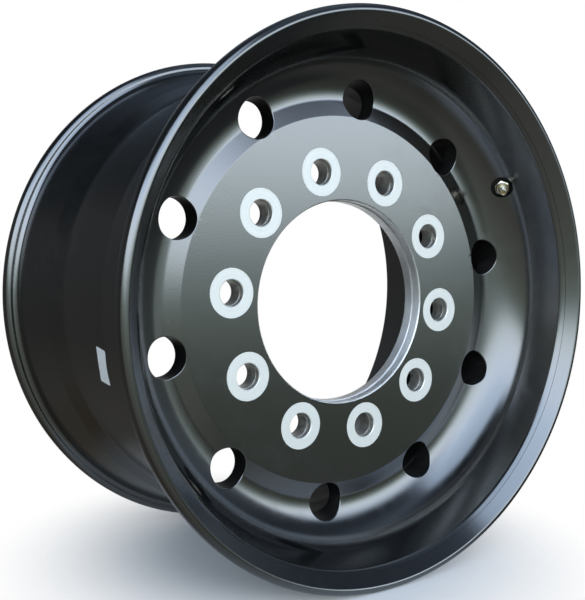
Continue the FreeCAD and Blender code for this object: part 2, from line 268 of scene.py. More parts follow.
TURN = 2 * math.pi
ARC_STEP = math.radians(4.5)     # turn between two points on a round of the section
DISC_STEP = 0.007                # between two rings of points on the disc
RIM_STEPS = 300                  # round the wheel
BOLT_STEPS = 72                  # round a bolt hole
HAND_STEPS = 96                  # round a hand hole
EDGE_ROWS = 5                    # over a hand hole's rounded edge
VALVE_STEPS = 64                 # round the valve
NUT_STEPS = 96                   # round the hexagon nut
THREAD_ROWS = 8                  # along one pitch of a thread
THREAD_FADE = 6                  # at both ends a thread runs out over its length divided by this
THREAD_SLOPE = 1.25              # a groove's width is the pitch divided by this
SHANK_START = 0.2                # part of the wall that the shank's thread reaches into
SPRING_STEPS = 24                # along a turn of the core's spring
WIRE_STEPS = 10                  # round the spring's wire
CORNER_STEPS = 4                 # round a corner of the label
FLOOR_RINGS, FLOOR_STEPS = 12, 96
HOLE_MARGIN = 0.0009             # kept free of points round a hole in the disc
DISH_LIMIT = math.cos(math.radians(45))    # the disc's face ends where the dish is steeper
BACK_LIMIT = math.cos(math.radians(70))    # and its back where the fillet is steeper
SHARP_EDGE = math.radians(28)    # of the small turned pieces
STEM_EDGE = 0.0004               # broken edges of the stem
NUT_SOFT = 0.00025               # and of the nut
LABEL_GAP = 0.00001              # between label and rim
LABEL_COLUMNS = 12               # of points inside the label
LABEL_INSET = 0.9                # how far out these points go, as a share of the label
SAME_PLACE = 1e-7                # points nearer than this are one point
TRUE_NORMAL = "true_normal"
PAINT, BARE, DRILLED, BORE, MATT = range(5)


def new_piece(name, points, faces, materials):
    """A mesh of points and faces as an object in the scene."""
    mesh = bpy.data.meshes.new(name)
    mesh.from_pydata(points, [], faces)
    for material in materials:
        mesh.materials.append(material)
    piece = bpy.data.objects.new(name, mesh)
    bpy.context.scene.collection.objects.link(piece)
    return piece


class Shell:
    """Faces of one piece, with the true normal at each corner and a finish for each face."""

    def __init__(self):
        self.points = []
        self.known = {}
        self.faces = []
        self.normals = []
        self.finishes = []

    def point(self, place):
        """Number of the point at a place, the same one for every face that meets there."""
        key = tuple(round(c, 6) for c in place)
        if key not in self.known:
            sides = [(round(c - SAME_PLACE, 6), round(c + SAME_PLACE, 6)) for c in place]
            for near in itertools.product(*sides):
                self.known.setdefault(near, len(self.points))
            self.points.append(tuple(place))
        return self.known[key]

    def face(self, places, normals, finish=PAINT):
        """Add one face, turned so that it looks the way its normals do."""
        corners = []
        for place, normal in zip(places, normals):
            number = self.point(place)
            if all(number != other for other, _ in corners):
                corners.append((number, normal))
        if len(corners) < 3:
            return
        a, b, c = (Vector(self.points[corners[i][0]]) for i in (0, 1, -1))
        facing = (b - a).cross(c - a)
        if facing.dot(sum((Vector(n) for _, n in corners), Vector())) < 0:
            corners.reverse()
        self.faces.append([number for number, _ in corners])
        self.normals.extend(normal for _, normal in corners)
        self.finishes.append(finish)

    def piece(self, name, materials):
        """The finished faces as an object."""
        piece = new_piece(name, self.points, self.faces, materials)
        mesh = piece.data
        mesh.polygons.foreach_set("material_index", self.finishes)
        mesh.polygons.foreach_set("use_smooth", [True] * len(self.faces))
        store = mesh.attributes.new(TRUE_NORMAL, "FLOAT_VECTOR", "CORNER")
        store.data.foreach_set("vector", np.array(self.normals, np.float32).ravel())
        return piece


def keep_true_normals(piece):
    """Shade a piece by the normals that its faces were made with."""
    mesh = piece.data
    count = len(mesh.loops)
    normals = np.zeros(count * 3, np.float32)
    mesh.attributes[TRUE_NORMAL].data.foreach_get("vector", normals)
    normals = normals.reshape(-1, 3)
    facing = np.zeros(len(mesh.polygons) * 3, np.float32)
    mesh.polygons.foreach_get("normal", facing)
    sizes = np.zeros(len(mesh.polygons), np.int32)
    mesh.polygons.foreach_get("loop_total", sizes)
    flat = np.repeat(facing.reshape(-1, 3), sizes, axis=0)
    normals[(normals * flat).sum(1) < 0] *= -1
    lost = np.linalg.norm(normals, axis=1) < 0.5
    normals[lost] = flat[lost]
    mesh.attributes.remove(mesh.attributes[TRUE_NORMAL])
    mesh.normals_split_custom_set(normals)


class Axis:
    """Place and direction that a form is turned about."""

    def __init__(self, origin, along, start):
        self.origin = Vector(origin)
        self.along = Vector(along).normalized()
        self.u = Vector(start).normalized()
        self.v = self.u.cross(self.along)

    def way(self, radial, axial, turn):
        """A direction from its radial and axial share."""
        return self.u * (radial * math.cos(turn)) + self.v * (radial * math.sin(turn)) \
            + self.along * axial

    def at(self, radius, height, turn):
        """A point by its radius, its height along the axis and its turn."""
        return self.origin + self.way(radius, height, turn)


def unit_step(start, end):
    """Unit step from one outline point to another."""
    size = math.dist(start, end)
    return (end[0] - start[0]) / size, (end[1] - start[1]) / size


def right_of(start, end):
    """Unit normal on the right of a step, which is the outside of an outline."""
    x, y = unit_step(start, end)
    return y, -x


def half_turn(before, corner, after):
    """Half the angle that an outline turns by at a corner."""
    ax, ay = unit_step(before, corner)
    bx, by = unit_step(corner, after)
    return abs(math.atan2(ax * by - ay * bx, ax * bx + ay * by)) / 2


def round_centre(before, corner, after, radius):
    """Centre of the round that touches both lines at a corner."""
    ax, ay = unit_step(corner, before)
    bx, by = unit_step(corner, after)
    reach = radius / math.cos(half_turn(before, corner, after)) / math.hypot(ax + bx, ay + by)
    return corner[0] + (ax + bx) * reach, corner[1] + (ay + by) * reach


def round_points(before, corner, after, radius):
    """Points and normals along the round at one corner, or the corner alone."""
    if radius == 0:
        return [(corner, None)]
    centre = round_centre(before, corner, after, radius)
    tangent = radius * math.tan(half_turn(before, corner, after))
    ends = []
    for other in (before, after):
        step = unit_step(corner, other)
        place = (corner[0] + step[0] * tangent, corner[1] + step[1] * tangent)
        ends.append(math.atan2(place[1] - centre[1], place[0] - centre[0]))
    sweep = (ends[1] - ends[0] + math.pi) % TURN - math.pi
    side = 1 if sweep > 0 else -1
    count = max(2, math.ceil(abs(sweep) / ARC_STEP))
    points = []
    for i in range(count + 1):
        turn = ends[0] + sweep * i / count
        way = (math.cos(turn), math.sin(turn))
        points.append(((centre[0] + radius * way[0], centre[1] + radius * way[1]),
                       (side * way[0], side * way[1])))
    return points


def fitted_rounds(corners):
    """Each corner's radius, held to what the lines on both sides of it leave room for."""
    count = len(corners)
    tangents = []
    for i, corner in enumerate(corners):
        turn = half_turn(corners[i - 1][:2], corner[:2], corners[(i + 1) % count][:2])
        tangents.append(corner[2] * math.tan(turn))
    shares = [1.0] * count
    for i in range(count):
        after = (i + 1) % count
        used = tangents[i] + tangents[after]
        room = math.dist(corners[i][:2], corners[after][:2])
        if used > room:
            shares[i] = min(shares[i], room / used)
            shares[after] = min(shares[after], room / used)
    return [corner[2] * part for corner, part in zip(corners, shares)]


def section_spans(corners):
    """Short spans of a closed section: (point, normal, next point, normal, zone)."""
    count = len(corners)
    rounds = fitted_rounds(corners)
    stretches = [round_points(corners[i - 1][:2], corners[i][:2], corners[(i + 1) % count][:2],
                              rounds[i]) for i in range(count)]
    spans = []
    for i, stretch in enumerate(stretches):
        zone = corners[i][3]
        for (p, p_way), (q, q_way) in zip(stretch, stretch[1:]):
            spans.append((p, p_way, q, q_way, zone))
        p, q = stretch[-1][0], stretches[(i + 1) % count][0][0]
        if math.dist(p, q) > 1e-7:
            spans.append((p, right_of(p, q), q, right_of(p, q), zone))
    return spans


def line_spans(points):
    """Straight spans through a list of points: (point, normal, next point, normal)."""
    return [(p, right_of(p, q), q, right_of(p, q)) for p, q in zip(points, points[1:])]


def turn_span(shell, span, axis, steps, finish):
    """Turn one span of a section about an axis."""
    p, p_way, q, q_way = span[:4]
    for i in range(steps):
        turns = (TURN * i / steps, TURN * (i + 1) / steps)
        places = [axis.at(*p, turns[0]), axis.at(*p, turns[1]),
                  axis.at(*q, turns[1]), axis.at(*q, turns[0])]
        normals = [axis.way(*p_way, turns[0]), axis.way(*p_way, turns[1]),
                   axis.way(*q_way, turns[1]), axis.way(*q_way, turns[0])]
        shell.face(places, normals, finish)


class Section:
    """The forging's section, from the same sizes as the part."""

    def __init__(self, rim, disc):
        self.rim, self.disc = rim, disc
        self.lip = rim.rim_width / 2 + rim.flange_width
        self.face_y = disc.face_depth - self.lip
        self.back_y = self.face_y + disc.disc_thickness
        self.seat_end = rim.rim_width / 2 - rim.seat_length
        self.seat_end_r = rim.seat_r - rim.seat_length * math.tan(rim.seat_angle)
        slope = math.tan(rim.ramp_angle)
        self.outer_foot = -self.seat_end + (self.seat_end_r - rim.well_r) / slope
        self.inner_foot = self.seat_end - (self.seat_end_r - rim.well_foot_r) / slope

    def bore(self):
        """Wall of the centre bore, from the disc's back to its outer face."""
        d = self.disc
        front_r = d.pilot_r + d.bore_step
        groove_front = self.face_y + d.bore_front
        groove_back = groove_front + d.bore_groove_width
        groove_r = front_r + d.bore_groove
        places = [(d.pilot_r + d.pilot_chamfer, self.back_y),
                  (d.pilot_r, self.back_y - d.pilot_chamfer),
                  (d.pilot_r, groove_back + d.pilot_chamfer),
                  (d.pilot_r + d.pilot_chamfer, groove_back),
                  (groove_r, groove_back), (groove_r, groove_front), (front_r, groove_front),
                  (front_r, self.face_y + d.bore_chamfer)]
        return [(r, y, 0, "bore") for r, y in places]

    def dish(self):
        """Outer face of the disc and the wall up to the outer lip."""
        d, rim = self.disc, self.rim
        step_y = -self.lip + rim.lip_step_depth
        return [(d.pilot_r + d.bore_step + d.bore_chamfer, self.face_y, 0, "face"),
                (d.face_r, self.face_y, d.face_round, "face"),
                (d.valley_r, self.face_y + d.valley_depth, d.valley_round, "face"),
                (d.dish_r, self.face_y + d.dish_drop, d.dish_fillet, "dish"),
                (rim.lip_wall_r, -self.lip + rim.lip_depth, rim.lip_edge_round, "rim"),
                (rim.lip_step_r, step_y + rim.lip_step, 0, "rim"),
                (rim.lip_step_r, step_y, 0, "rim")]

    def flange(self, side):
        """Tyre side of one flange and bead seat, from the lip inwards; side is Y's sign."""
        rim = self.rim
        tyre_face = side * rim.rim_width / 2
        return [(rim.flange_r - rim.nose_width, side * self.lip, rim.nose_blend, "rim"),
                (rim.flange_r, side * self.lip, rim.nose_round, "rim"),
                (rim.flange_r, tyre_face, rim.flange_curl, "rim"),
                (rim.seat_r, tyre_face, rim.heel_fillet, "rim"),
                (self.seat_end_r, tyre_face - side * rim.seat_length, rim.seat_round, "rim")]

    def well(self):
        """Tyre side of the drop centre, from the outboard seat to the inboard one."""
        rim = self.rim
        return [(rim.well_r, self.outer_foot, rim.ramp_fillet, "rim"),
                (rim.well_r, rim.well_bend, rim.ramp_fillet, "rim"),
                (rim.well_foot_r, self.inner_foot, rim.ramp_fillet, "rim")]

    def barrel(self):
        """Wheel side of the rim's inboard half, from the inboard lip to the disc's back."""
        rim = self.rim
        inner_r = rim.well_r - rim.well_wall
        return [(rim.lip_wall_r, self.lip - rim.lip_depth, rim.lip_edge_round, "rim"),
                (self.seat_end_r - rim.seat_wall, self.seat_end, rim.seat_round, "inside"),
                (rim.well_foot_r - rim.well_wall, self.inner_foot, rim.ramp_fillet, "inside"),
                (inner_r, rim.well_bend, rim.ramp_fillet, "inside"),
                (inner_r, self.back_y, self.disc.back_fillet, "back")]

    def spans(self):
        """The whole section, in short spans."""
        return section_spans(self.bore() + self.dish() + self.flange(-1) + self.well()
                             + self.flange(1)[::-1] + self.barrel())

    def valve_seat(self, valve):
        """Radius and Y of the middle of the valve's outer spot face."""
        d, rim = self.disc, self.rim
        centre = round_centre((d.valley_r, self.face_y + d.valley_depth),
                              (d.dish_r, self.face_y + d.dish_drop),
                              (rim.lip_wall_r, -self.lip + rim.lip_depth), d.dish_fillet)
        depth = d.dish_fillet + valve.spot_depth
        return (centre[0] + depth * math.sin(valve.seat_facing),
                centre[1] + depth * math.cos(valve.seat_facing))


class DiscSide:
    """One side of the disc as a height over its radius."""

    def __init__(self, spans):
        samples = {}
        for p, p_way, q, q_way, _ in spans:
            parts = max(1, math.ceil(math.dist(p, q) / DISC_STEP))
            for i in range(parts + 1):
                t = i / parts
                radius = p[0] + (q[0] - p[0]) * t
                samples[round(radius, 8)] = (p[1] + (q[1] - p[1]) * t,
                                             p_way[0] + (q_way[0] - p_way[0]) * t,
                                             p_way[1] + (q_way[1] - p_way[1]) * t)
        self.radii = sorted(samples)
        self.rows = [samples[r] for r in self.radii]

    def at(self, radius):
        """Height, and the normal's radial and axial share, at a radius."""
        i = min(max(bisect.bisect_right(self.radii, radius), 1), len(self.radii) - 1)
        low, high = self.radii[i - 1], self.radii[i]
        t = min(max((radius - low) / (high - low), 0), 1)
        return tuple(a + (b - a) * t for a, b in zip(self.rows[i - 1], self.rows[i]))

    def point(self, x, z):
        """Point and normal of this side above a place."""
        radius = math.hypot(x, z)
        height, radial, axial = self.at(radius)
        normal = Vector((radial * x / radius, axial, radial * z / radius)).normalized()
        return Vector((x, height, z)), normal


def circle(centre, radius, steps):
    """Points of a circle in the wheel's plane."""
    return [(centre[0] + radius * math.cos(TURN * i / steps),
             centre[1] + radius * math.sin(TURN * i / steps)) for i in range(steps)]


def fill_disc_side(shell, side, holes, finish):
    """Cover one side of the disc with triangles, leaving its round holes open."""
    points, edges = [], []

    def loop(ring):
        first = len(points)
        points.extend(ring)
        edges.extend((first + i, first + (i + 1) % len(ring)) for i in range(len(ring)))

    inner, outer = side.radii[0], side.radii[-1]
    loop(circle((0, 0), inner, RIM_STEPS))
    loop(circle((0, 0), outer, RIM_STEPS))
    for centre, radius, steps in holes:
        loop(circle(centre, radius, steps))
    for radius in side.radii[1:-1]:
        near = [hole for hole in holes
                if abs(math.hypot(*hole[0]) - radius) < hole[1] + HOLE_MARGIN]
        for place in circle((0, 0), radius, RIM_STEPS):
            if all(math.dist(place, centre) > size + HOLE_MARGIN for centre, size, _ in near):
                points.append(place)
    result = geometry.delaunay_2d_cdt([Vector(p) for p in points], edges, [], 0, 1e-7)
    flat = result[0]
    whole = [side.point(*p) for p in flat]
    for triangle in result[2]:
        middle = sum((flat[i] for i in triangle), Vector((0, 0))) / 3
        if not inner < middle.length < outer:
            continue
        if any((middle - Vector(centre)).length < size for centre, size, _ in holes):
            continue
        shell.face([whole[i][0] for i in triangle], [whole[i][1] for i in triangle], finish)


def hand_hole_edge(shell, side, centre, radius, edge, inward):
    """Rounded edge of one hand hole on one side of the disc; gives the wall's end points."""
    columns = []
    for i in range(HAND_STEPS):
        turn = TURN * i / HAND_STEPS
        way = Vector((math.cos(turn), 0, math.sin(turn)))

        def above(reach):
            return side.point(centre[0] + way.x * reach, centre[1] + way.z * reach)

        start, start_way = above(radius + edge)
        corner = above(radius)[0]
        end = corner + Vector((0, inward * edge, 0))
        column = []
        for row in range(EDGE_ROWS + 1):
            t = row / EDGE_ROWS
            place = start * (1 - t) ** 2 + corner * (2 * t * (1 - t)) + end * t ** 2
            step = (corner - start) * (1 - t) + (end - corner) * t
            column.append((place, step))
        columns.append((column, start_way, -way))
    for i in range(HAND_STEPS):
        for row in range(EDGE_ROWS):
            places, normals = [], []
            for column, r in ((i, row), (i + 1, row), (i + 1, row + 1), (i, row + 1)):
                rows, start_way, wall_way = columns[column % HAND_STEPS]
                t = r / EDGE_ROWS
                places.append(rows[r][0])
                normals.append(edge_normal(columns, column % HAND_STEPS, r, start_way, wall_way, t))
            shell.face(places, normals, PAINT if inward > 0 else MATT)
    return [column[0][-1][0] for column in columns]


def edge_normal(columns, column, row, start_way, wall_way, t):
    """Normal on a rounded edge, exact at both ends of the round."""
    if row == 0:
        return start_way
    if row == EDGE_ROWS:
        return wall_way
    before = columns[column - 1][0][row][0]
    after = columns[(column + 1) % HAND_STEPS][0][row][0]
    normal = (after - before).cross(columns[column][0][row][1]).normalized()
    guide = start_way * (1 - t) + wall_way * t
    return normal if normal.dot(guide) > 0 else -normal


def add_hand_holes(shell, disc, front, back, centres):
    """Rounded edges and walls of the hand holes."""
    for centre in centres:
        near = hand_hole_edge(shell, front, centre, disc.hand_hole_r, disc.hand_edge_round, 1)
        far = hand_hole_edge(shell, back, centre, disc.hand_hole_r, disc.hand_edge_round, -1)
        middle = Vector((centre[0], 0, centre[1]))
        ways = []
        for place in near:
            way = middle - place
            way.y = 0
            ways.append(way.normalized())
        for i in range(HAND_STEPS):
            j = (i + 1) % HAND_STEPS
            shell.face([near[i], near[j], far[j], far[i]],
                       [ways[i], ways[j], ways[j], ways[i]], MATT)


def add_bolt_holes(shell, section, centres):
    """Bare spot faces and drilled walls of the bolt holes."""
    disc = section.disc
    mouth_r = disc.bolt_hole_r + disc.bolt_mouth_step
    bare = section.face_y + disc.bolt_ring_depth
    back = section.back_y
    outline = [(disc.bolt_hole_r + disc.bolt_chamfer, back),
               (disc.bolt_hole_r, back - disc.bolt_chamfer),
               (disc.bolt_hole_r, section.face_y + disc.bolt_mouth_depth),
               (mouth_r, section.face_y + disc.bolt_mouth_depth),
               (mouth_r, bare + disc.bolt_chamfer),
               (mouth_r + disc.bolt_chamfer, bare),
               (disc.bolt_ring_r, bare), (disc.bolt_ring_r, section.face_y)]
    finishes = [DRILLED, DRILLED, DRILLED, DRILLED, BARE, BARE, PAINT]
    for centre in centres:
        axis = Axis((centre[0], 0, centre[1]), (0, 1, 0), (1, 0, 0))
        for span, finish in zip(line_spans(outline), finishes):
            turn_span(shell, span, axis, BOLT_STEPS, finish)


def round_places(count, radius, first):
    """Centres of a ring of holes, in the wheel's plane."""
    return [(radius * math.cos(first + TURN * i / count),
             radius * math.sin(first + TURN * i / count)) for i in range(count)]


def forging_shell(section):
    """All faces of the forging, before the valve hole is cut."""
    disc = section.disc
    shell = Shell()
    bolts = round_places(disc.bolt_count, disc.bolt_circle_r, disc.bolt_angle)
    hands = round_places(disc.bolt_count, disc.hand_circle_r,
                         disc.bolt_angle - math.pi / disc.bolt_count)
    front, back = [], []
    wheel_axis = Axis((0, 0, 0), (0, 1, 0), (1, 0, 0))
    for span in section.spans():
        if span[4] == "face":
            front.append(span)
        elif span[4] == "dish" and -span[3][1] > DISH_LIMIT:
            front.append(span)
        elif span[4] == "back" and span[1][1] > BACK_LIMIT:
            back.append(span)
        else:
            finish = {"bore": BORE, "inside": MATT, "back": MATT}.get(span[4], PAINT)
            turn_span(shell, span, wheel_axis, RIM_STEPS, finish)
    front, back = DiscSide(front), DiscSide(back)
    hand_r = disc.hand_hole_r + disc.hand_edge_round
    hand_loops = [(centre, hand_r, HAND_STEPS) for centre in hands]
    fill_disc_side(shell, front,
                   [(centre, disc.bolt_ring_r, BOLT_STEPS) for centre in bolts] + hand_loops, PAINT)
    fill_disc_side(shell, back,
                   [(centre, disc.bolt_hole_r + disc.bolt_chamfer, BOLT_STEPS)
                    for centre in bolts] + hand_loops, MATT)
    add_hand_holes(shell, disc, front, back, hands)
    add_bolt_holes(shell, section, bolts)
    return shell


def valve_axis(section, valve):
    """Axis of the valve, from the middle of its outer spot face to its mouth."""
    radius, height = section.valve_seat(valve)
    cos, sin = math.cos(valve.valve_angle), math.sin(valve.valve_angle)
    out = Vector((-math.sin(valve.valve_tilt) * cos, -math.cos(valve.valve_tilt),
                  -math.sin(valve.valve_tilt) * sin))
    sideways = Vector((-sin, 0, cos))
    return Axis((radius * cos, height, radius * sin), out, sideways)


def cut_valve_hole(wheel, section, valve):
    """Cut the valve's hole and both spot faces out of the forging."""
    outside, inside = section.disc.dish_fillet, section.rim.seat_wall + section.rim.well_wall
    outline = [(0, -valve.valve_wall - inside), (valve.inner_spot_r, -valve.valve_wall - inside),
               (valve.inner_spot_r, -valve.valve_wall), (valve.hole_r, -valve.valve_wall),
               (valve.hole_r, 0), (valve.spot_r, 0), (valve.spot_r, outside), (0, outside)]
    shell = Shell()
    axis = valve_axis(section, valve)
    for span in line_spans(outline):
        seat = span[0][0] == valve.hole_r and span[2][0] == valve.spot_r
        turn_span(shell, span, axis, VALVE_STEPS, MATT if seat else PAINT)
    cutter = shell.piece("valve_cutter", wheel.data.materials)
    cut = wheel.modifiers.new("valve hole", "BOOLEAN")
    cut.operation = "DIFFERENCE"
    cut.solver = "EXACT"
    cut.object = cutter
    graph = bpy.context.evaluated_depsgraph_get()
    mesh = bpy.data.meshes.new_from_object(wheel.evaluated_get(graph))
    wheel.modifiers.clear()
    wheel.data = mesh
    bpy.data.objects.remove(cutter)


class Nodes:
    """Short way to build a node tree."""

    def __init__(self, tree):
        self.tree = tree
        tree.nodes.clear()

    def add(self, kind, inputs=None, **settings):
        """Add a node; inputs are values or sockets, settings are the node's own."""
        node = self.tree.nodes.new(kind)
        for name, value in settings.items():
            setattr(node, name, value)
        for name, value in (inputs or {}).items():
            self.give(node.inputs[name], value)
        return node

    def give(self, socket, value):
        """Link a socket, or set its value."""
        if isinstance(value, bpy.types.NodeSocket):
            self.tree.links.new(value, socket)
        else:
            socket.default_value = value

    def math(self, operation, first, second=0.0):
        """One sum."""
        return self.add("ShaderNodeMath", {0: first, 1: second}, operation=operation).outputs[0]

    def plus(self, first, second):
        """Sum of two values."""
        return self.math("ADD", first, second)

    def minus(self, first, second):
        """Difference of two values."""
        return self.math("SUBTRACT", first, second)

    def times(self, first, second):
        """Product of two values."""
        return self.math("MULTIPLY", first, second)

    def vector(self, operation, first, second=(0, 0, 0)):
        """One vector sum."""
        node = self.add("ShaderNodeVectorMath", {0: first, 1: second}, operation=operation)
        return node.outputs["Value" if operation in ("LENGTH", "DOT_PRODUCT") else "Vector"]

    def axes(self, vector):
        """X, Y and Z of a vector, by name."""
        return self.add("ShaderNodeSeparateXYZ", {"Vector": vector}).outputs

    def spread(self, value, low, high, out_low=0.0, out_high=1.0, smooth=True):
        """Map a range onto another, held at both ends."""
        return self.add("ShaderNodeMapRange",
                        {"Value": value, "From Min": low, "From Max": high,
                         "To Min": out_low, "To Max": out_high},
                        interpolation_type="SMOOTHSTEP" if smooth else "LINEAR").outputs["Result"]

    def blend(self, factor, first, second):
        """Mix two colours."""
        node = self.add("ShaderNodeMix", {0: factor}, data_type="RGBA")
        self.give(node.inputs[6], first)
        self.give(node.inputs[7], second)
        return node.outputs[2]


class Surface(Nodes):
    """A material in the making, with its shader and the place on the piece in metres."""

    def __init__(self, name):
        self.material = bpy.data.materials.new(name)
        self.material.use_nodes = True
        super().__init__(self.material.node_tree)
        self.shader = self.add("ShaderNodeBsdfPrincipled")
        self.add("ShaderNodeOutputMaterial", {"Surface": self.shader.outputs["BSDF"]})
        self.place = self.add("ShaderNodeTexCoord").outputs["Object"]

    def noise(self, scale, detail, roughness=0.5, where=None):
        """Soft irregular pattern."""
        return self.add("ShaderNodeTexNoise",
                        {"Vector": self.place if where is None else where, "Scale": scale,
                         "Detail": detail, "Roughness": roughness}).outputs["Fac"]

    def bands(self, distance, scale, detail):
        """Uneven bands along a distance."""
        return self.add("ShaderNodeTexNoise",
                        {"W": self.times(distance, scale), "Scale": 1.0, "Detail": detail},
                        noise_dimensions="1D").outputs["Fac"]

    def turned_marks(self, distance, pitch):
        """Uneven turning grooves along a distance from an axis."""
        wobble = self.noise(scale=900.0, detail=1.0)
        return self.math("SINE", self.plus(self.times(distance, TURN / pitch),
                                           self.times(wobble, 1.5)))

    def bump(self, height, strength, distance):
        """Fine relief."""
        inputs = {"Height": height, "Strength": strength, "Distance": distance}
        return self.add("ShaderNodeBump", inputs).outputs["Normal"]

    def finish(self, tone, rough, relief=None, **others):
        """Give the shader its colour, roughness, relief and other inputs; returns the material."""
        inputs = {"Base Color": tone, "Roughness": rough, **others}
        if relief is not None:
            inputs["Normal"] = relief
        for name, value in inputs.items():
            self.give(self.shader.inputs[name], value)
        return self.material


def rgba(tone, part=1.0):
    """A colour, or a part of it, with full cover."""
    return (*(c * part for c in tone), 1.0)


def black_paint(finishes):
    """Satin-gloss black paint with a faint orange peel, dust and specks."""
    s = Surface("black_paint")
    cloud = s.noise(scale=7.0, detail=4.0)
    dust = s.noise(scale=60.0, detail=5.0, roughness=0.6)
    film = s.times(s.spread(cloud, 0.35, 0.75), s.spread(dust, 0.4, 0.7))
    tone = s.blend(s.times(film, 0.7), rgba(finishes.paint), rgba(finishes.paint_worn))
    speck = s.add("ShaderNodeTexVoronoi", {"Vector": s.place, "Scale": 85.0})
    dot = s.spread(speck.outputs["Distance"], 0.035, 0.05, 1.0, 0.0)
    chance = s.add("ShaderNodeSeparateColor", {"Color": speck.outputs["Color"]}).outputs[0]
    dot = s.times(dot, s.spread(chance, 0.93, 0.95))
    tone = s.blend(s.times(dot, 0.5), tone, rgba(finishes.speck))
    peel = s.bump(s.noise(scale=520.0, detail=1.0), strength=0.05, distance=0.0004)
    return s.finish(tone, s.plus(s.times(film, 0.08), finishes.paint_rough), peel,
                    IOR=finishes.paint_ior)


def matt_paint(finishes):
    """Thin dry paint on the side towards the vehicle, and in the hand holes."""
    s = Surface("matt_paint")
    dust = s.noise(scale=45.0, detail=5.0, roughness=0.6)
    tone = s.blend(s.spread(dust, 0.4, 0.75), rgba(finishes.paint_worn), rgba(finishes.matt_dust))
    return s.finish(tone, s.spread(dust, 0.3, 0.7, 0.5, 0.6), IOR=finishes.matt_ior)


def bolt_distance(s, disc):
    """Distance from the nearest bolt hole's axis."""
    pitch = TURN / disc.bolt_count
    place = s.axes(s.place)
    turn = s.math("ARCTAN2", place["Z"], place["X"])
    local = s.math("FLOORED_MODULO", s.minus(turn, disc.bolt_angle - pitch / 2), pitch)
    local = s.minus(local, pitch / 2)
    radius = s.vector("LENGTH", s.vector("MULTIPLY", s.place, (1, 0, 1)))
    along = s.minus(s.times(radius, s.math("COSINE", local)), disc.bolt_circle_r)
    across = s.times(radius, s.math("SINE", local))
    return s.vector("LENGTH", s.add("ShaderNodeCombineXYZ", {"X": along, "Y": across}).outputs[0])


def bare_metal(finishes, disc):
    """Spot-faced aluminium with fine rings about each bolt hole."""
    s = Surface("bare_metal")
    distance = bolt_distance(s, disc)
    bands = s.bands(distance, scale=1600.0, detail=2.0)
    tone = s.blend(s.spread(bands, 0.3, 0.7), rgba(finishes.bare), rgba(finishes.bare, 0.88))
    grooves = s.bump(s.turned_marks(distance, 0.00035), strength=0.12, distance=0.00004)
    return s.finish(tone, s.spread(bands, 0.2, 0.8, 0.56, 0.68), grooves, Metallic=1.0)


def drilled_metal(finishes):
    """Drilled walls of the bolt holes: duller, with feed marks along the hole."""
    s = Surface("drilled_metal")
    grime = s.noise(scale=140.0, detail=4.0)
    tone = s.blend(s.spread(grime, 0.35, 0.7), rgba(finishes.bare, 0.5), rgba(finishes.bare, 0.72))
    feed = s.bump(s.turned_marks(s.axes(s.place)["Y"], 0.0006), strength=0.6, distance=0.00008)
    return s.finish(tone, s.spread(grime, 0.3, 0.7, 0.32, 0.5), feed, Metallic=1.0)


def bore_metal(finishes):
    """Turned aluminium of the centre bore."""
    s = Surface("bore_metal")
    height = s.axes(s.place)["Y"]
    bands = s.bands(height, scale=900.0, detail=3.0)
    smear = s.noise(scale=35.0, detail=4.0)
    tone = s.blend(s.spread(smear, 0.3, 0.7), rgba(finishes.bore, 0.85), rgba(finishes.bore))
    feed = s.bump(s.turned_marks(height, 0.0004), strength=0.9, distance=0.00007)
    return s.finish(tone, s.spread(bands, 0.25, 0.75, 0.28, 0.42), feed, Metallic=1.0)


def plain_metal(name, tone, low_rough, high_rough):
    """Small metal pieces: plating or brass with faint smears and scratches."""
    s = Surface(name)
    smear = s.noise(scale=420.0, detail=4.0, roughness=0.6)
    dull = s.blend(s.spread(smear, 0.35, 0.75), rgba(tone), rgba(tone, 0.72))
    stretched = s.vector("MULTIPLY", s.place, (900, 4000, 900))
    scratch = s.noise(scale=1.0, detail=2.0, where=stretched)
    return s.finish(dull, s.spread(smear, 0.3, 0.75, low_rough, high_rough),
                    s.bump(scratch, strength=0.06, distance=0.00004), Metallic=1.0)


def seal_rubber(finishes):
    """Matt black rubber."""
    s = Surface("seal_rubber")
    bloom = s.noise(scale=300.0, detail=4.0)
    tone = s.blend(s.spread(bloom, 0.4, 0.8), rgba(finishes.rubber), rgba(finishes.rubber, 2.2))
    return s.finish(tone, s.spread(bloom, 0.3, 0.7, 0.62, 0.8),
                    s.bump(bloom, strength=0.1, distance=0.0001))


def label_paper(finishes):
    """Blank coated paper, a little scuffed."""
    s = Surface("label_paper")
    fibre = s.noise(scale=900.0, detail=4.0, roughness=0.6)
    scuff = s.noise(scale=120.0, detail=4.0, roughness=0.6)
    tone = s.blend(s.spread(scuff, 0.5, 0.75), rgba(finishes.paper), rgba(finishes.paper, 0.86))
    return s.finish(tone, s.spread(scuff, 0.3, 0.7, 0.4, 0.6),
                    s.bump(fibre, strength=0.08, distance=0.00005))


class TRUCKWHEEL_OT_forging(bpy.types.Operator):
    """Build the forged rim and disc with its paint and bare machined faces"""
    bl_idname = "truck_wheel.forging"
    bl_label = "Forging"

    def execute(self, context):
        settings = context.scene.truck_wheel
        section = Section(settings.rim, settings.disc)
        finishes = settings.finishes
        materials = [black_paint(finishes), bare_metal(finishes, settings.disc),
                     drilled_metal(finishes), bore_metal(finishes), matt_paint(finishes)]
        wheel = forging_shell(section).piece("forged_wheel", materials)
        cut_valve_hole(wheel, section, settings.valve)
        keep_true_normals(wheel)
        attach(wheel, "rim")
        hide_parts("wheel")
        return {"FINISHED"}


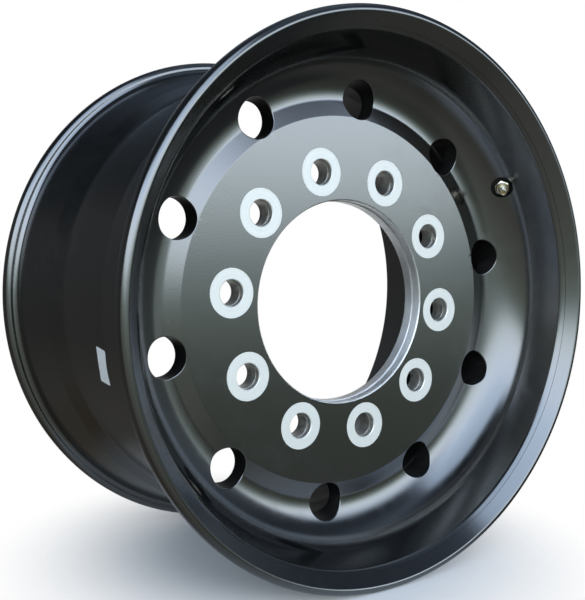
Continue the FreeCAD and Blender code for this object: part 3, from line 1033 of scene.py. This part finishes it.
def grid_piece(name, rows, closed, material):
    """A tube of rows of points, each row a ring; closed joins the ends, or else they are capped."""
    count = len(rows[0])
    points = [place for row in rows for place in row]
    faces = []
    last = len(rows) if closed else len(rows) - 1
    for i in range(last):
        j = (i + 1) % len(rows)
        for k in range(count):
            n = (k + 1) % count
            faces.append((i * count + k, j * count + k, j * count + n, i * count + n))
    if not closed:
        faces.append(tuple(range(count)))
        faces.append(tuple(range(len(points) - 1, len(points) - 1 - count, -1)))
    piece = new_piece(name, points, faces, [material])
    piece.data.polygons.foreach_set("use_smooth", [True] * len(faces))
    piece.data.set_sharp_from_angle(angle=SHARP_EDGE)
    return piece


def thread_rows(axis, low, high, crest, depth, pitch):
    """Rings of points that carry a cut thread between two heights."""
    rows = []
    count = math.ceil((high - low) / pitch * THREAD_ROWS)
    for i in range(count + 1):
        height = low + (high - low) * i / count
        fade = min(1, THREAD_FADE * min(i, count - i) / count)
        ring = []
        for k in range(VALVE_STEPS):
            part = (height / pitch - k / VALVE_STEPS) % 1
            groove = max(0, 1 - abs(2 * part - 1) * THREAD_SLOPE)
            ring.append(axis.at(crest - depth * groove * fade, height,
                                TURN * k / VALVE_STEPS))
        rows.append(ring)
    return rows


def stem_rows(axis, valve):
    """Rings of points of the turned valve stem, from its head round to its passage."""
    head_low = -valve.valve_wall - valve.seal_height - valve.head_height
    cone_low = valve.nut_height + valve.collar_height
    chamber_low = valve.reach - valve.chamber_depth
    edge = valve.mouth_chamfer
    small = STEM_EDGE

    def rings(outline):
        return [[axis.at(r, s, TURN * k / VALVE_STEPS) for k in range(VALVE_STEPS)]
                for r, s in outline]

    rows = rings([(valve.passage_r, head_low), (valve.head_r - small, head_low),
                  (valve.head_r, head_low + small),
                  (valve.head_r, head_low + valve.head_height),
                  (valve.shank_r, head_low + valve.head_height)])
    rows += thread_rows(axis, -valve.valve_wall * SHANK_START, cone_low - small / 2,
                        valve.shank_r, valve.thread_depth, valve.thread_pitch)
    rows += rings([(valve.shank_r, cone_low), (valve.thread_r, cone_low + valve.cone_length)])
    rows += thread_rows(axis, cone_low + valve.cone_length + small, valve.reach - edge - small / 4,
                        valve.thread_r, valve.thread_depth, valve.thread_pitch)
    rows += rings([(valve.thread_r, valve.reach - edge), (valve.thread_r - edge, valve.reach),
                   (valve.chamber_r + small / 2, valve.reach),
                   (valve.chamber_r, valve.reach - small / 2), (valve.chamber_r, chamber_low),
                   (valve.passage_r, chamber_low - (valve.chamber_r - valve.passage_r))])
    return rows


def nut_rows(axis, valve):
    """Rings of points of the hexagon nut with its turned top and round collar."""
    apothem = valve.nut_flats / 2
    corner = apothem / math.cos(math.pi / 6)
    top_r = apothem - valve.nut_chamfer / 2
    hole_r = valve.shank_r + valve.thread_gap
    top = valve.nut_height + valve.collar_height
    soft = NUT_SOFT
    columns = []
    for k in range(NUT_STEPS):
        turn = TURN * k / NUT_STEPS
        local = turn % (math.pi / 3) - math.pi / 6
        flat_r = min(apothem / math.cos(local), corner - valve.nut_edge)
        rise = valve.nut_height - valve.nut_chamfer * (flat_r - top_r) / (corner - top_r)
        columns.append([(hole_r, 0.0), (flat_r - soft, 0.0), (flat_r, soft), (flat_r, rise),
                        (top_r + soft, valve.nut_height - soft / 3), (top_r, valve.nut_height),
                        (valve.collar_r + soft, top - soft * 2), (valve.collar_r, top - soft / 2),
                        (valve.collar_r - soft, top), (hole_r + soft, top),
                        (hole_r, top - soft)])
    rows = []
    for i in range(len(columns[0])):
        rows.append([axis.at(*columns[k][i], valve.nut_turn + TURN * k / NUT_STEPS)
                     for k in range(NUT_STEPS)])
    return rows


def spring_rows(axis, valve):
    """Rings of points along the coiled wire of the core's spring."""
    low = valve.reach - valve.spring_floor + valve.spring_wire_r
    pitch = (valve.spring_length - 2 * valve.spring_wire_r) / valve.spring_coils
    rows = []
    for i in range(valve.spring_coils * SPRING_STEPS + 1):
        turn = TURN * i / SPRING_STEPS
        middle = axis.at(valve.spring_coil_r, low + pitch * i / SPRING_STEPS, turn)
        out = axis.way(1, 0, turn)
        onward = axis.way(valve.spring_coil_r, pitch / TURN, turn + math.pi / 2)
        up = out.cross(onward).normalized()
        rows.append([middle + (out * math.cos(a) + up * math.sin(a)) * valve.spring_wire_r
                     for a in (TURN * k / WIRE_STEPS for k in range(WIRE_STEPS))])
    return rows


class TRUCKWHEEL_OT_valve(bpy.types.Operator):
    """Build the threaded valve stem and its nut, and finish the valve core's pieces"""
    bl_idname = "truck_wheel.valve"
    bl_label = "Valve"

    def execute(self, context):
        settings = context.scene.truck_wheel
        valve, finishes = settings.valve, settings.finishes
        axis = valve_axis(Section(settings.rim, settings.disc), valve)
        plated = plain_metal("plated_stem", finishes.plated, 0.16, 0.34)
        plated_nut = plain_metal("plated_nut", finishes.plated_nut, 0.14, 0.3)
        stem = grid_piece("threaded_stem", stem_rows(axis, valve), True, plated)
        nut = grid_piece("hexagon_nut", nut_rows(axis, valve), True, plated_nut)
        steel = plain_metal("spring_steel", finishes.steel, 0.2, 0.35)
        spring = grid_piece("core_spring", spring_rows(axis, valve), False, steel)
        for piece, node, slot in ((stem, "valve_stem", "plated_brass"),
                                  (nut, "valve_nut", "plated_nut"),
                                  (spring, "valve_core_spring", "spring_steel")):
            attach(piece, "rim")
            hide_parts(node)
        tuple(axis.at(0, valve.reach - valve.spring_floor, 0))
        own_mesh(spring)
        brass = plain_metal("core_brass", finishes.brass, 0.18, 0.36)
        rubber = seal_rubber(finishes)
        for node, material in (("valve_core_body", brass), ("valve_core_pin", brass),
                               ("valve_core_seal", rubber), ("valve_core_washer", rubber),
                               ("valve_seal", rubber)):
            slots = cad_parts[node].data.materials
            slots.clear()
            slots.append(material)
        return {"FINISHED"}


def well_radius(section, height):
    """Radius of the drop centre's deep and rising lands at a height."""
    rim = section.rim
    rise = (height - rim.well_bend) / (section.inner_foot - rim.well_bend)
    return rim.well_r + max(0, rise) * (rim.well_foot_r - rim.well_r)


def label_outline(label):
    """Rounded rectangle of the label, with the middle at 0, 0."""
    half_l, half_w, corner = label.label_length / 2, label.label_width / 2, label.label_corner
    points = []
    for i, (sx, sy) in enumerate(((1, 1), (-1, 1), (-1, -1), (1, -1))):
        for k in range(CORNER_STEPS + 1):
            turn = TURN / 4 * (i + k / CORNER_STEPS)
            points.append((sx * (half_l - corner) + corner * math.cos(turn),
                           sy * (half_w - corner) + corner * math.sin(turn)))
    return points


class TRUCKWHEEL_OT_label(bpy.types.Operator):
    """Stick the blank paper label on the tyre side of the rim"""
    bl_idname = "truck_wheel.label"
    bl_label = "Label"

    def execute(self, context):
        settings = context.scene.truck_wheel
        label = settings.label
        section = Section(settings.rim, settings.disc)
        cos, sin = math.cos(label.label_lean), math.sin(label.label_lean)
        outline = label_outline(label)
        half_l, half_w = label.label_length / 2, label.label_width / 2
        inside = [(half_l * k / LABEL_COLUMNS * LABEL_INSET, half_w * side * LABEL_INSET)
                  for k in range(1 - LABEL_COLUMNS, LABEL_COLUMNS, 2) for side in (1, -1, 0)]
        edges = [(i, (i + 1) % len(outline)) for i in range(len(outline))]
        flat = [Vector(p) for p in outline + inside]
        result = geometry.delaunay_2d_cdt(flat, edges, [], 1, 1e-7)
        layers = []
        for lift in (label.label_thickness, LABEL_GAP):
            layer = []
            for x, y in result[0]:
                height = label.label_y + y * cos + x * sin
                radius = well_radius(section, height) + lift
                turn = label.label_angle + (x * cos - y * sin) / radius
                layer.append((radius * math.cos(turn), height, radius * math.sin(turn)))
            layers.append(layer)
        count = len(layers[0])
        faces = [tuple(f) for f in result[2]]
        faces += [tuple(count + i for i in reversed(f)) for f in result[2]]
        faces += [(j, i, count + i, count + j) for i, j in edges]
        piece = new_piece("blank_label", layers[0] + layers[1], faces,
                          [label_paper(settings.finishes)])
        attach(piece, "rim")
        return {"FINISHED"}


def make_camera(context, stage):
    """Camera at the photograph's place and angle."""
    data = bpy.data.cameras.new("camera")
    data.lens = stage.camera_lens
    data.shift_x, data.shift_y = stage.camera_shift
    data.clip_start = 0.01
    camera = bpy.data.objects.new("camera", data)
    camera.location = stage.camera_place
    camera.rotation_euler = Vector(stage.camera_aim).to_track_quat("-Z", "Y").to_euler()
    context.scene.collection.objects.link(camera)
    context.scene.camera = camera


FRONT_TONES = (        # elevation in degrees, light that comes through the open front
    (-90, (0.135, 0.140, 0.125)),
    (-55, (0.165, 0.170, 0.150)),
    (-35, (0.230, 0.235, 0.210)),
    (-15, (0.300, 0.330, 0.285)),
    (-8, (0.375, 0.445, 0.375)),
    (-3, (0.520, 0.640, 0.590)),
    (0, (0.900, 1.090, 1.110)),
    (3, (1.850, 2.150, 2.250)),
    (6, (2.550, 2.920, 3.130)),
    (12, (2.900, 3.320, 3.780)),
    (20, (2.850, 3.300, 3.970)),
    (28, (2.250, 2.800, 3.550)),
    (45, (1.650, 2.100, 2.750)),
    (66, (1.350, 1.700, 2.250)),
    (90, (0.900, 1.150, 1.500)),
)
LEFT_TONES = (         # elevation in degrees, dim light of the room on the left and behind
    (-90, (0.050, 0.045, 0.040)),
    (-45, (0.100, 0.084, 0.062)),
    (-30, (0.112, 0.108, 0.098)),
    (-12, (0.080, 0.077, 0.075)),
    (18, (0.085, 0.090, 0.095)),
    (27, (0.042, 0.047, 0.052)),
    (40, (0.026, 0.030, 0.037)),
    (90, (0.035, 0.040, 0.050)),
)
RIGHT_TONES = (        # the same on the right
    (-90, (0.120, 0.125, 0.110)),
    (-40, (0.125, 0.130, 0.120)),
    (-26, (0.045, 0.050, 0.055)),
    (-10, (0.060, 0.066, 0.070)),
    (-3, (0.150, 0.180, 0.170)),
    (8, (0.200, 0.250, 0.300)),
    (16, (0.120, 0.145, 0.190)),
    (28, (0.060, 0.080, 0.105)),
    (45, (0.080, 0.100, 0.140)),
    (62, (0.200, 0.260, 0.340)),
    (90, (0.050, 0.065, 0.085)),
)
BRIGHTEST = 4.0        # colour ramps hold up to 1, so their tones are shares of this
ROOM_BLEND = 0.3       # X of a direction over which the room's left turns into its right

# Soft steps of the front light: from and to in degrees, and the value at both. A direction's
# facing is 0 along -Y and grows towards +X.
OPEN_LEFT = (-93, -76, 0, 1)         # facing, left edge of the open front
OPEN_RIGHT = (46, 50, 1, 0)          # facing, right edge
TOP_LEFT = (-70, -20, 44, 66)        # facing, elevation of the top edge on the left
TOP_RIGHT = (4, 22, 66, 31)          # facing, elevation of the top edge on the right
TOP_SOFT = (-12, 3, 1, 0)            # elevation over the top edge
SHADE_SIDE = (4, 20, 0, 1)           # facing, where the right side is dimmer by the next three
SHADE_LOW = (-10, -1, 0.45, 1)       # elevation
SHADE_HIGH = (9, 26, 1, 0.6)         # elevation
SHADE_GROUND = (-45, -22, 0.3, 0)    # elevation, light that the ground gives back
SKYLINE_START = math.radians(-10)    # facing, left of which the skyline rises
SKYLINE_LIFT = 0.126                 # radians of rise for each radian squared

SENSOR = 36.0                        # width in millimetres
SHEET_FULL, SHEET_END = 0.01, 0.30   # soft edge of the white sheet, past the camera's frame


def tone_ramp(nodes, elevation, tones):
    """Light by elevation."""
    place = nodes.spread(elevation, -math.pi / 2, math.pi / 2, smooth=False)
    ramp = nodes.add("ShaderNodeValToRGB", {"Fac": place})
    stops = ramp.color_ramp.elements
    while len(stops) < len(tones):
        stops.new(0.5)
    for stop, (degrees, tone) in zip(stops, tones):
        stop.position = (degrees + 90) / 180
        stop.color = rgba(tone, 1 / BRIGHTEST)
    return ramp.outputs["Color"]


def soft_step(nodes, direction, step):
    """One of the soft steps above, at an angle in radians."""
    start, end, low, high = step
    return nodes.spread(direction, math.radians(start), math.radians(end), low, high)


def front_light(nodes, elevation, facing):
    """Light of the open front, dimmer on its right."""
    rise = nodes.math("MAXIMUM", nodes.minus(SKYLINE_START, facing), 0.0)
    skyline = nodes.times(nodes.times(rise, rise), SKYLINE_LIFT)
    tone = tone_ramp(nodes, nodes.minus(elevation, skyline), FRONT_TONES)
    shade = nodes.times(soft_step(nodes, elevation, SHADE_LOW),
                        soft_step(nodes, elevation, SHADE_HIGH))
    shade = nodes.plus(shade, soft_step(nodes, elevation, SHADE_GROUND))
    dim = soft_step(nodes, facing, SHADE_SIDE)
    shade = nodes.plus(nodes.times(dim, shade), nodes.minus(1.0, dim))
    return nodes.add("ShaderNodeVectorMath", {0: tone, "Scale": shade},
                     operation="SCALE").outputs["Vector"]


def front_cover(nodes, elevation, facing):
    """1 inside the open front, 0 outside it."""
    top = nodes.math("MINIMUM", soft_step(nodes, facing, TOP_RIGHT),
                     soft_step(nodes, facing, TOP_LEFT))
    over = nodes.minus(elevation, nodes.math("RADIANS", top))
    sides = nodes.times(soft_step(nodes, facing, OPEN_LEFT), soft_step(nodes, facing, OPEN_RIGHT))
    return nodes.times(sides, soft_step(nodes, over, TOP_SOFT))


def room_light(nodes, side, elevation):
    """Dim light of the room; side is X of the direction."""
    return nodes.blend(nodes.spread(side, -ROOM_BLEND, ROOM_BLEND),
                       tone_ramp(nodes, elevation, LEFT_TONES),
                       tone_ramp(nodes, elevation, RIGHT_TONES))


def white_sheet(nodes, where, stage):
    """1 on a white sheet behind the wheel that fills the camera's frame, 0 off it."""
    aim = Vector(stage.camera_aim).normalized()
    sideways = aim.cross(Vector((0, 0, 1))).normalized()
    depth = nodes.vector("DOT_PRODUCT", where, tuple(aim))
    half = SENSOR / 2 / stage.camera_lens
    offsets = []
    for way, shift in zip((sideways, sideways.cross(aim)), stage.camera_shift):
        across = nodes.math("DIVIDE", nodes.vector("DOT_PRODUCT", where, tuple(way)), depth)
        offsets.append(nodes.math("ABSOLUTE", nodes.minus(across, 2 * half * shift)))
    sheet = nodes.spread(nodes.math("MAXIMUM", *offsets), half + SHEET_FULL, half + SHEET_END,
                         1.0, 0.0)
    return nodes.times(sheet, nodes.math("GREATER_THAN", depth, 0.0))


def make_world(context, stage):
    """One wide soft light from the open front, a dim room, and white behind the wheel."""
    world = bpy.data.worlds.new("studio")
    world.use_nodes = True
    nodes = Nodes(world.node_tree)
    where = nodes.add("ShaderNodeTexCoord").outputs["Generated"]
    way = nodes.axes(where)
    elevation = nodes.math("ARCSINE", way["Z"])
    facing = nodes.math("ARCTAN2", way["X"], nodes.times(way["Y"], -1.0))
    light = nodes.blend(front_cover(nodes, elevation, facing),
                        room_light(nodes, way["X"], elevation),
                        front_light(nodes, elevation, facing))
    light = nodes.blend(white_sheet(nodes, where, stage), light,
                        rgba(stage.backdrop, 1 / BRIGHTEST))
    glow = nodes.add("ShaderNodeBackground", {"Color": light, "Strength": BRIGHTEST})
    nodes.add("ShaderNodeOutputWorld", {"Surface": glow.outputs["Background"]})
    context.scene.world = world


def make_floor(stage):
    """Pale matt floor under the wheel, fading out at its edge."""
    shell = Shell()
    axis = Axis((0, 0, cad_box[0][2]), (0, 0, 1), (1, 0, 0))
    for i in range(FLOOR_RINGS):
        inner, outer = (stage.floor_end * k / FLOOR_RINGS for k in (i, i + 1))
        turn_span(shell, ((outer, 0), (0, 1), (inner, 0), (0, 1)), axis, FLOOR_STEPS, PAINT)
    s = Surface("pale_floor")
    tone = s.blend(s.noise(scale=30.0, detail=4.0), rgba(stage.floor_tone),
                   rgba(stage.floor_tone, 0.98))
    reach = s.vector("LENGTH", s.vector("MULTIPLY", s.place, (1, 1, 0)))
    cover = s.spread(reach, stage.floor_full, stage.floor_end, 1, 0)
    floor = shell.piece("pale_floor", [s.finish(tone, 0.7, Alpha=cover)])
    keep_true_normals(floor)


class TRUCKWHEEL_OT_stage(bpy.types.Operator):
    """Set up the camera, the soft light and the pale floor"""
    bl_idname = "truck_wheel.stage"
    bl_label = "Stage"

    def execute(self, context):
        stage = context.scene.truck_wheel.stage
        make_camera(context, stage)
        make_world(context, stage)
        make_floor(stage)
        context.scene.view_settings.view_transform = "Standard"
        return {"FINISHED"}


class TRUCKWHEEL_PT_panel(bpy.types.Panel):
    """Steps that dress the wheel"""
    bl_idname = "TRUCKWHEEL_PT_panel"
    bl_label = "Truck Wheel"
    bl_space_type = "VIEW_3D"
    bl_region_type = "UI"
    bl_category = "Truck Wheel"

    def draw(self, context):
        for operator in OPERATORS:
            self.layout.operator(operator.bl_idname)


OPERATORS = (TRUCKWHEEL_OT_forging, TRUCKWHEEL_OT_valve, TRUCKWHEEL_OT_label, TRUCKWHEEL_OT_stage)
CLASSES = (RimSizes, DiscSizes, ValveSizes, LabelSizes, Finishes, StageSettings,
           TruckWheelSettings, *OPERATORS, TRUCKWHEEL_PT_panel)


def register():
    for item in CLASSES:
        bpy.utils.register_class(item)
    bpy.types.Scene.truck_wheel = PointerProperty(type=TruckWheelSettings)


def unregister():
    del bpy.types.Scene.truck_wheel
    for item in reversed(CLASSES):
        bpy.utils.unregister_class(item)


def main():
    """Register the settings and build every piece."""
    register()
    bpy.ops.truck_wheel.forging()
    bpy.ops.truck_wheel.valve()
    bpy.ops.truck_wheel.label()
    bpy.ops.truck_wheel.stage()


if __name__ == "__main__":
    main()
